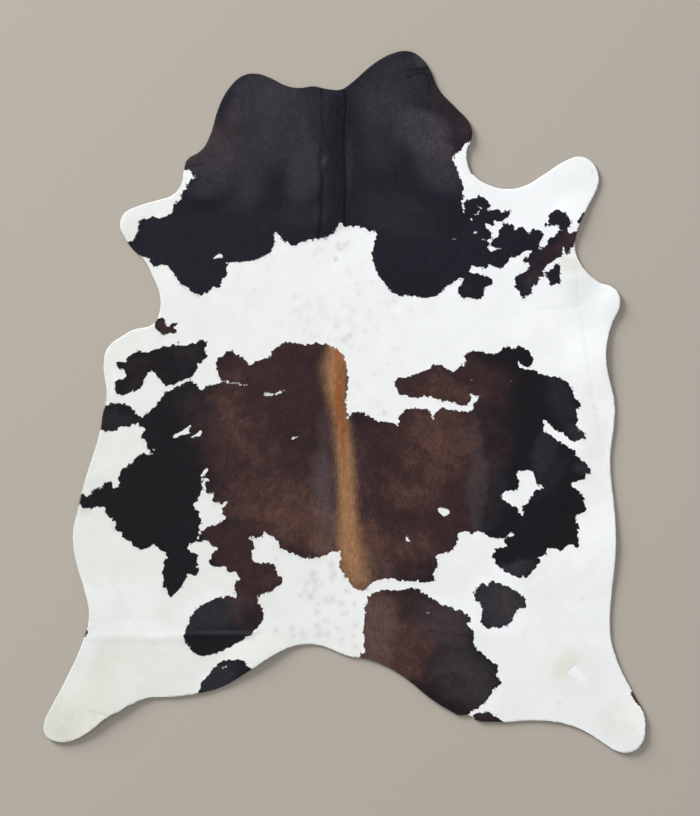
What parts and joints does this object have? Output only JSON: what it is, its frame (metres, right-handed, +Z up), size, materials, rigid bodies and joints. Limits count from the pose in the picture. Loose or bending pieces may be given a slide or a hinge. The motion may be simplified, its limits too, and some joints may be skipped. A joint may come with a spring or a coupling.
{
  "type": "cowhide rug",
  "caption": "Whole hair-on cowhide lying flat as a rug, in its natural knife-cut outline of neck, forelegs, flanks and hind legs, with a small patch let into the hind quarter.",
  "frame": {"origin": "on the floor, under the middle of the hide's bounding box", "axes": "+Y along the spine towards the neck, +X to the right as seen from above, +Z up through the hair side"},
  "size_m": [1.8063, 2.1064, 0.0118],
  "materials": {
    "white_hair": "short hair lying flat, soft sheen",
    "patch_hair": "short hair lying flat, soft sheen"
  },
  "bodies": {
    "root": {"hide": "white_hair", "mending_patch": "patch_hair"}
  },
  "joints": []
}
